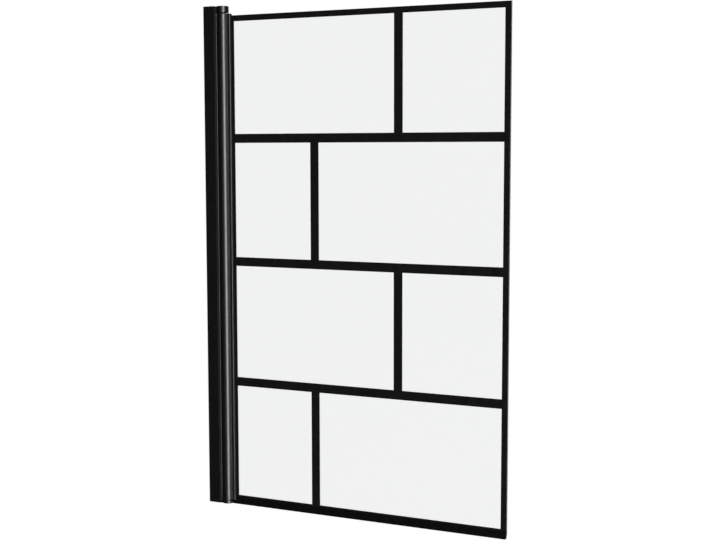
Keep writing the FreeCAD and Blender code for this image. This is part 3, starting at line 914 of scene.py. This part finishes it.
@dataclass
class WallFixing(SubAssembly):
    """Channel on the wall and its end cap."""

    body: ClassVar[Body] = Body.WALL
    profile_round: float = 0.15
    cap_round: float = 0.4
    tip_reach: float = 34.0
    tip_outer: float = 15.0
    tip_inner: float = 13.4
    tip_width: float = 0.5

    def build(self) -> None:
        """Draw the tips of the channel and its cap square, and break the edges."""
        for name, node, width, least in (
            ("wall_channel", "wall_profile", self.profile_round, LONG_EDGE),
            ("channel_cap", "wall_end_cap", self.cap_round, 0.0),
        ):
            form = Form.of_node(self.nodes[node])
            for half in (self.tip_outer, self.tip_inner):
                form.square(self.tip_reach, half, self.tip_width)
            self.add(name, form.soften(width, least), node)


@dataclass
class HingePost(SubAssembly):
    """Telescoping profile with its caps, pins, wiper and screws."""

    body: ClassVar[Body] = Body.POST
    profile_round: float = 0.25
    cap_round: float = 0.35
    shoulder: float = 35.5
    lip_turn: float = 37.4
    lip_flat: float = 0.04
    wiper_floor: float = 33.6
    wiper_foot: float = 35.4
    wiper_tip: float = 35.68
    wiper_valley: float = 35.45
    wiper_half: float = 1.45
    wiper_lip: float = 0.87
    wiper_round: float = 0.2
    wiper_heel: float = 0.3
    port_reach: float = 26.0
    port_spread: float = 6.5
    top_screw_seat: float = 1387.2
    bottom_screw_seat: float = 4.0
    lock_reach: float = 13.0
    lock_seat: float = 16.15
    lock_heights: tuple[float, ...] = (150.0, 699.6, 1249.2)
    cap_screw: PanScrew = PanScrew(1.65, 16.0, 3.3, 2.3)
    lock_screw: PanScrew = PanScrew(1.95, 9.5, 3.7, 2.0)
    lock_cap: SnapCap = SnapCap()

    def build(self) -> None:
        """Build the post's pieces from the profile outwards."""
        self.profile()
        self.cap("upper_cap", "top_hinge_cap")
        self.cap("lower_cap", "bottom_hinge_cap")
        self.keep("top_pivot_pin", "bottom_pivot_pin", "thrust_washer", "locking_washers")
        self.wiper()
        self.cap_screws()
        self.locking()

    def profile(self) -> None:
        """Round the profile's long edges, and give the lips of its cup a narrow flat."""
        form = Form.of_node(self.nodes["hinge_profile"]).soften(self.profile_round, LONG_EDGE)
        form.folds.append(self.shoulder)
        turn = math.radians(self.lip_turn)
        for side in (-1, 1):
            form.shave(Vector((math.sin(turn), side * math.cos(turn), 0.0)), self.lip_flat)
        self.add("telescopic_profile", form, "hinge_profile")

    def cap(self, name: str, node: str) -> None:
        """Round a hinge cap's edges and keep the fold of its shoulder.

        Args:
            name: Name of the piece.
            node: The node that it copies.
        """
        form = Form.of_node(self.nodes[node]).soften(self.cap_round)
        form.folds.append(self.shoulder)
        self.add(name, form, node)

    def wiper(self) -> None:
        """Draw the two-lipped wiper in the cup's groove."""
        section = rounded([
            Corner(self.wiper_floor, -self.wiper_half, self.wiper_round),
            Corner(self.wiper_foot, -self.wiper_half, self.wiper_heel),
            Corner(self.wiper_tip, -self.wiper_lip, self.wiper_round),
            Corner(self.wiper_valley, 0.0, self.wiper_round),
            Corner(self.wiper_tip, self.wiper_lip, self.wiper_round),
            Corner(self.wiper_foot, self.wiper_half, self.wiper_heel),
            Corner(self.wiper_floor, self.wiper_half, self.wiper_round),
        ])
        low, high = (corner.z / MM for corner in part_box("wiper_seal"))
        self.add("wiper_strip", strip(section, low, high), "wiper_seal")

    def cap_screws(self) -> None:
        """Set the two pairs of screws that hold the hinge caps."""
        pairs = (
            ("upper_cap_screws", "top_cap_screws", Heading.UP, self.top_screw_seat),
            ("lower_cap_screws", "bottom_cap_screws", Heading.DOWN, self.bottom_screw_seat),
        )
        for name, node, heading, seat in pairs:
            places = [(self.port_reach, side * self.port_spread, seat) for side in (-1, 1)]
            self.add(name, self.cap_screw.form().copies(heading, places), node)

    def locking(self) -> None:
        """Set the locking screws and their snap-on caps."""
        places = [(self.lock_reach, self.lock_seat, height) for height in self.lock_heights]
        self.add("clamp_screws", self.lock_screw.form().copies(Heading.REAR, places), "locking_screws")
        self.add("snap_caps", self.lock_cap.form().copies(Heading.REAR, places), "locking_caps")


@dataclass
class SwingScreen(SubAssembly):
    """Swinging profile with its bushes, the printed glass, the gaskets and the bottom seal."""

    body: ClassVar[Body] = Body.SCREEN
    profile_round: float = 0.25
    moulding_round: float = 0.3
    fused: float = 0.01
    jaw_inner: float = 4.0
    jaw_end: float = 79.4
    gasket_depth: float = 14.0
    gasket_gap: float = 0.15
    gasket_round: float = 0.2
    gasket_lip: float = 1.6
    gasket_lip_height: float = 1.5
    lip_crest: float = 0.88
    lip_root_round: float = 0.1
    lip_heel_round: float = 0.35
    lip_crest_round: float = 0.5
    lip_tip_round: float = 0.15
    barb_reach: tuple[float, ...] = (68.0, 71.0, 74.0)
    barb_ramp: float = 1.2
    barb_length: float = 1.5
    barb_depth: float = 0.5
    barb_round: float = 0.15
    seal_inner: float = 2.8
    seal_outer: float = 3.9
    seal_rise: float = 10.0
    seal_base: float = 8.8
    seal_tip: float = 5.16
    seal_fin: float = 0.86
    fin_root_round: float = 0.7
    fin_tip_round: float = 0.33
    fin_heel_round: float = 1.6
    arm_round: float = 0.4
    bed_round: float = 0.3
    notch_end: float = 81.45
    notch_slant: float = 0.02
    seal_step: float = 11.0
    wave_depth: float = 0.09
    wave_lengths: tuple[float, float] = (57.0, 143.0)

    def build(self) -> None:
        """Build the screen's pieces from the tube outwards."""
        self.soften("tube_and_clamp", "swing_profile", self.profile_round)
        self.soften("upper_bush", "top_bush", self.moulding_round)
        self.soften("lower_bush", "bottom_bush", self.moulding_round)
        self.soften("clamp_cap", "clamp_end_cap", self.moulding_round)
        self.keep("glass_panel", "glass_packers")
        self.film()
        self.gasket("viewer_side_gasket", "front_gasket", -1)
        self.gasket("far_side_gasket", "rear_gasket", 1)
        self.seal()

    def film(self) -> None:
        """Sink the print's back face into the glass by a hair, where firing fuses it."""
        form = Form.of_node(self.nodes["printed_grid"])
        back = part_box("printed_grid")[1].y / MM
        for vertex in form.mesh.verts:
            if abs(vertex.co.y - back) < self.fused:
                vertex.co.y = back + self.fused
        self.add("print_film", form, "printed_grid")

    def gasket(self, name: str, node: str, side: int) -> None:
        """Draw a glazing gasket with a rounded lip and barbs towards the jaw.

        Args:
            name: Name of the piece.
            node: The node that it stands for.
            side: -1 for the viewer's side and 1 for the far side.
        """
        low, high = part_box(node)
        face = min(abs(low.y), abs(high.y)) / MM
        start, lip = self.jaw_end - self.gasket_depth, self.jaw_end + self.gasket_gap
        crest = self.jaw_inner + self.gasket_lip_height
        corners = [Corner(start, wide, self.gasket_round) for wide in (face, self.jaw_inner)]
        for reach in self.barb_reach:
            corners += [
                Corner(reach, self.jaw_inner),
                Corner(reach + self.barb_ramp, self.jaw_inner - self.barb_depth, self.barb_round),
                Corner(reach + self.barb_length, self.jaw_inner),
            ]
        corners += [
            Corner(lip, self.jaw_inner, self.lip_root_round),
            Corner(lip, crest, self.lip_heel_round),
            Corner(lip + self.lip_crest, crest, self.lip_crest_round),
            Corner(lip + self.gasket_lip, face, self.lip_tip_round),
        ]
        section = [(reach, side * wide) for reach, wide in rounded(corners)]
        self.add(name, strip(section, low.z / MM, high.z / MM), node)

    def wave(self, reach: float, height: float) -> float:
        """Give the sideways wave of the seal's fins.

        Args:
            reach: Place along the seal.
            height: Height in its section.

        Returns:
            The shift, which is nothing above the fins' roots.
        """
        hang = max(0.0, 1.0 - height / self.seal_base)
        swell = sum(math.sin(2 * math.pi * reach / length) for length in self.wave_lengths)
        return self.wave_depth * hang * swell

    def seal(self) -> None:
        """Draw the bottom seal, with its arms notched away under the clamp."""
        low, high = (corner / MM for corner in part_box("bottom_seal"))
        half = [
            Corner(self.seal_outer - 2 * self.seal_fin, self.seal_base, self.fin_root_round),
            Corner(self.seal_tip - self.seal_fin, low.z, self.fin_tip_round),
            Corner(self.seal_tip, low.z, self.fin_tip_round),
            Corner(self.seal_outer, self.seal_base, self.fin_heel_round),
            Corner(self.seal_outer, high.z, self.arm_round),
            Corner(self.seal_inner, high.z, self.arm_round),
            Corner(self.seal_inner, self.seal_rise, self.bed_round),
        ]
        mirrored = [Corner(-corner.x, corner.y, corner.radius) for corner in reversed(half)]
        section = rounded(half + mirrored)
        stub = [(wide, min(tall, self.seal_rise)) for wide, tall in section]
        count = math.ceil((high.x - self.notch_end) / self.seal_step)
        run = [self.notch_end + (high.x - self.notch_end) * step / count for step in range(count + 1)]
        rings = []
        for outline, stations in ((stub, (low.x, self.notch_end - self.notch_slant)), (section, run)):
            for station in stations:
                rings.append([Vector((station, y + self.wave(station, z), z)) for y, z in outline])
        self.add("bottom_seal_strip", Form().loft(rings), "bottom_seal")


@dataclass
class Studio:
    """White room with a tall soft lamp, a weak overhead lamp and the photograph's viewpoint.

    Its places and sizes are in metres, apart from the lens, and its angles are in degrees.
    """

    camera_place: tuple[float, float, float] = (1.8544, -3.0174, 1.0046)
    camera_pitch: float = -5.503
    camera_turn: float = 24.748
    camera_roll: float = -0.097
    camera_lens: float = 62.66
    lamp_turn: float = 44.0
    lamp_distance: float = 7.0
    lamp_aim: tuple[float, float, float] = (0.053, 0.0, 0.42)
    lamp_size: tuple[float, float] = (1.31, 7.9)
    lamp_radiance: float = 18.6
    fill: float = 0.22
    backdrop_edge: float = 0.93
    backdrop_full: float = 1.0
    floor_drop: float = 0.9
    floor_half: float = 9.0
    overhead: float = 0.25
    overhead_spread: float = 20.0
    overhead_tilt: float = 20.0
    floor_tone: float = 0.5
    floor_glow: float = 0.8535

    def build(self) -> None:
        """Set up the view, the room, the lamps and the floor."""
        scene = bpy.context.scene
        scene.view_settings.view_transform = "Standard"
        self.camera(scene)
        self.room(scene)
        self.spare(self.tall_lamp(scene), self.floor())
        self.overhead_lamp(scene)

    def camera(self, scene: bpy.types.Scene) -> None:
        """Place the camera at the photograph's viewing angle."""
        data = bpy.data.cameras.new("view_camera")
        data.lens = self.camera_lens
        camera = bpy.data.objects.new("view_camera", data)
        camera.location = self.camera_place
        pitch, turn = math.radians(90 + self.camera_pitch), math.radians(self.camera_turn)
        roll = Matrix.Rotation(math.radians(self.camera_roll), 3, "Z")
        camera.rotation_euler = (Euler((pitch, 0.0, turn)).to_matrix() @ roll).to_euler()
        scene.collection.objects.link(camera)
        scene.camera = camera

    def room(self, scene: bpy.types.Scene) -> None:
        """Make the room white to look at, and dark on the viewer's side of the backdrop for gloss."""
        world = bpy.data.worlds.new("white_room")
        world.use_nodes = True
        scene.world = world
        graph = Graph(world.node_tree)
        path = graph.node("ShaderNodeLightPath").outputs
        direction = graph.node("ShaderNodeTexCoord").outputs["Generated"]
        level = graph.node("ShaderNodeVectorMath", {0: direction, 1: (1, 1, 0)}, operation="MULTIPLY")
        bearing = graph.node("ShaderNodeVectorMath", {0: level.outputs[0]}, operation="NORMALIZE")
        rear = graph.node("ShaderNodeSeparateXYZ", {0: bearing.outputs[0]}).outputs["Y"]
        inputs = {"Value": rear, "From Min": self.backdrop_edge, "From Max": self.backdrop_full}
        backdrop = graph.node("ShaderNodeMapRange", inputs).outputs[0]
        gloss = graph.math("MULTIPLY", path["Is Glossy Ray"], backdrop)
        direct = graph.math("MAXIMUM", path["Is Camera Ray"], path["Is Transmission Ray"])
        seen = graph.math("MAXIMUM", direct, gloss)
        looking = graph.math("MAXIMUM", direct, path["Is Glossy Ray"])
        lighting = graph.math("MULTIPLY", graph.math("SUBTRACT", 1.0, looking), self.fill)
        strength = graph.math("ADD", seen, lighting)
        shade = graph.node("ShaderNodeBackground", {"Color": (1, 1, 1, 1), "Strength": strength})
        graph.node("ShaderNodeOutputWorld", {"Surface": shade.outputs[0]})

    def tall_lamp(self, scene: bpy.types.Scene) -> bpy.types.Object:
        """Stand the tall soft lamp behind the camera and give it back."""
        data = bpy.data.lights.new("soft_lamp", "AREA")
        data.shape = "RECTANGLE"
        data.size, data.size_y = self.lamp_size
        data.energy = self.lamp_radiance * math.pi * data.size * data.size_y
        lamp = bpy.data.objects.new("soft_lamp", data)
        turn = math.radians(self.lamp_turn)
        away = Vector((math.sin(turn), -math.cos(turn), 0.0))
        lamp.location = Vector(self.lamp_aim) + away * self.lamp_distance
        lamp.rotation_euler = away.to_track_quat("Z", "Y").to_euler()
        lamp.visible_camera = False
        lamp.visible_transmission = False
        scene.collection.objects.link(lamp)
        return lamp

    def overhead_lamp(self, scene: bpy.types.Scene) -> None:
        """Hang the weak overhead lamp, which casts the screen's shadow on the floor."""
        data = bpy.data.lights.new("overhead_lamp", "SUN")
        data.energy = self.overhead
        data.angle = math.radians(self.overhead_spread)
        lamp = bpy.data.objects.new("overhead_lamp", data)
        lamp.rotation_euler = (math.radians(self.overhead_tilt), 0.0, 0.0)
        scene.collection.objects.link(lamp)

    @staticmethod
    def spare(lamp: bpy.types.Object, floor: bpy.types.Object) -> None:
        """Keep a lamp's light off the floor, which would be brightest beside the lamp.

        Args:
            lamp: The lamp.
            floor: The floor.
        """
        spared = bpy.data.collections.new("spared_by_lamp")
        spared.objects.link(floor)
        lamp.light_linking.receiver_collection = spared
        spared.collection_objects[0].light_linking.link_state = "EXCLUDE"

    def floor(self) -> bpy.types.Object:
        """Lay the pale floor a bath's height below the screen and give it back."""
        mesh = bpy.data.meshes.new("floor")
        half, low = self.floor_half, -self.floor_drop
        corners = [(-half, -half, low), (half, -half, low), (half, half, low), (-half, half, low)]
        mesh.from_pydata(corners, [], [(0, 1, 2, 3)])
        material = bpy.data.materials.new("pale_floor")
        material.use_nodes = True
        graph = Graph(material.node_tree)
        path = graph.node("ShaderNodeLightPath").outputs
        seen = graph.math("MAXIMUM", path["Is Camera Ray"], path["Is Transmission Ray"])
        glow = graph.node("ShaderNodeEmission", {"Strength": graph.math("MULTIPLY", seen, self.floor_glow)})
        tone = self.floor_tone
        paint = graph.node("ShaderNodeBsdfDiffuse", {"Color": (tone, tone, tone, 1)})
        both = graph.node("ShaderNodeAddShader", {0: glow.outputs[0], 1: paint.outputs[0]})
        graph.node("ShaderNodeOutputMaterial", {"Surface": both.outputs[0]})
        mesh.materials.append(material)
        floor = show("floor", mesh)
        floor.visible_glossy = False
        floor.visible_shadow = False
        return floor


def main() -> None:
    """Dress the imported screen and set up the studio."""
    logging.basicConfig(level=logging.INFO, format="%(name)s: %(message)s")
    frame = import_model()
    Studio().build()
    for part in (WallFixing, HingePost, SwingScreen):
        LOG.info("building %s on %s", part.__name__, part.body.value)
        part(frame["nodes"]).build()


if __name__ == "__main__":
    main()
